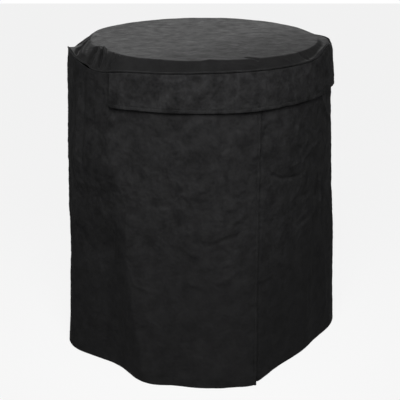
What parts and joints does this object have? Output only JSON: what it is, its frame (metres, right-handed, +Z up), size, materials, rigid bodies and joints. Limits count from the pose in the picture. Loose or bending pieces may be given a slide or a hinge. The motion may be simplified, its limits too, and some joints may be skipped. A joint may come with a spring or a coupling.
{
  "type": "fitted cover for a tow behind spreader",
  "caption": "Black fitted cloth cover for a round tow-behind spreader, with a flat welted top, a flared lapped skirt and a vent flap over netted vents.",
  "frame": {"origin": "centre of the hem's outline on the ground", "axes": "+Z up, front towards -Y, the side vent and the flap's right end towards +X"},
  "size_m": [0.8085, 0.812, 0.86],
  "materials": {
    "top_cloth": "coated woven polyester, soft sheen, taut",
    "welt_cloth": "coated woven polyester, folded and stitched",
    "skirt_cloth": "coated woven polyester, fine crumple wrinkles",
    "flap_cloth": "coated woven polyester, turned and stitched edge",
    "vent_net": "open knitted net",
    "thread": "matt polyester sewing thread"
  },
  "bodies": {
    "cover": {"top_panel": "top_cloth", "top_welt": "welt_cloth", "skirt_front_panel": "skirt_cloth", "skirt_rear_panel": "skirt_cloth", "front_vent_net": "vent_net", "side_vent_net": "vent_net"},
    "vent_flap": {"vent_flap": "flap_cloth"}
  },
  "joints": [
    {"name": "vent_flap_hinge", "type": "hinge", "parent": "cover", "child": "vent_flap", "pos_m": [0.17301, -0.30894, 0.8347], "axis": [-0.8725, -0.4886, -0.0087], "range_deg": [0, 25], "stiffness_Nm_per_rad": 0.3, "springref_deg": -22.92}
  ]
}
